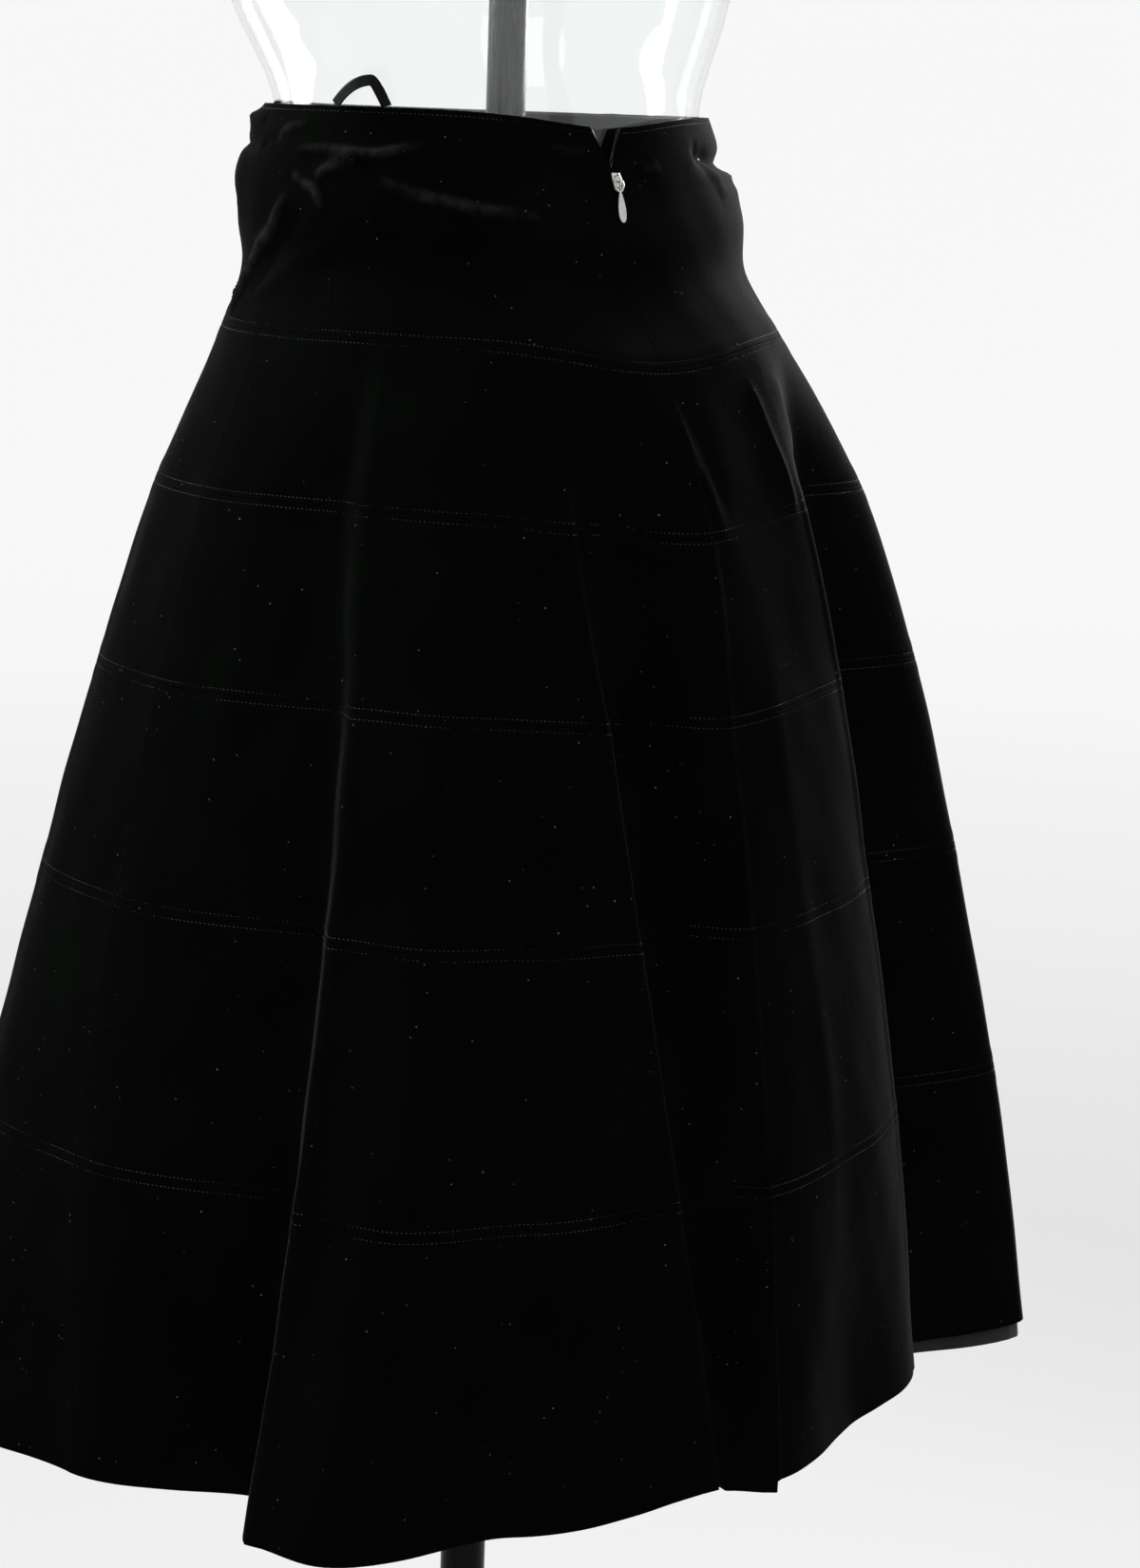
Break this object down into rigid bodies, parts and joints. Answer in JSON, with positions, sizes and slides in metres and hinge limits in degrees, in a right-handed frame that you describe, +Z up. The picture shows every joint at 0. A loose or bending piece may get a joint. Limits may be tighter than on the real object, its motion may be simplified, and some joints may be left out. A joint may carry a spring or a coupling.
{
  "type": "skater skirt on a dress form",
  "caption": "Black velvet skater skirt with a high yoke and flared seamed bands, zipped at the back, on a clear limbless dress form with a round stand.",
  "frame": {"origin": "centre of the underside of the stand's base, on the floor", "axes": "+Z up along the pole; the skirt's front faces -Y, its zip is at +Y and the wearer's left side is +X"},
  "size_m": [0.5428, 0.4969, 1.4913],
  "materials": {
    "velvet": "cotton velvet, deep nap",
    "satin_lining": "smooth satin",
    "zip_tape": "woven tape",
    "zip_metal": "polished",
    "clear_form": "clear, gloss",
    "stand_metal": "satin dark"
  },
  "bodies": {
    "skirt_and_stand": {"band_1_back_left": "velvet", "band_1_back_right": "velvet", "band_1_front": "velvet", "band_2_back_left": "velvet", "band_2_back_right": "velvet", "band_2_front": "velvet", "band_3_back_left": "velvet", "band_3_back_right": "velvet", "band_3_front": "velvet", "band_4_back_left": "velvet", "band_4_back_right": "velvet", "band_4_front": "velvet", "band_5_back_left": "velvet", "band_5_back_right": "velvet", "band_5_front": "velvet", "form_back": "clear_form", "form_front": "clear_form", "form_neck_cap": "clear_form", "hanger_loop": "satin_lining", "lining_skirt_back": "satin_lining", "lining_skirt_front": "satin_lining", "stand_base": "stand_metal", "stand_collar": "stand_metal", "stand_pole_lower": "stand_metal", "stand_pole_upper": "stand_metal", "yoke_back_left": "velvet", "yoke_back_right": "velvet", "yoke_front": "velvet", "yoke_lining_back_left": "satin_lining", "yoke_lining_back_right": "satin_lining", "yoke_lining_front": "satin_lining", "zip_slider": "zip_metal", "zip_tape_left": "zip_tape", "zip_tape_right": "zip_tape"},
    "zip_pull": {"zip_pull": "zip_metal"}
  },
  "joints": [
    {"name": "zip_pull_swing", "type": "hinge", "parent": "skirt_and_stand", "child": "zip_pull", "pos_m": [0.01482, 0.09416, 1.01997], "axis": [0.9954, -0.0949, 0.011], "range_deg": [0, 150]}
  ]
}
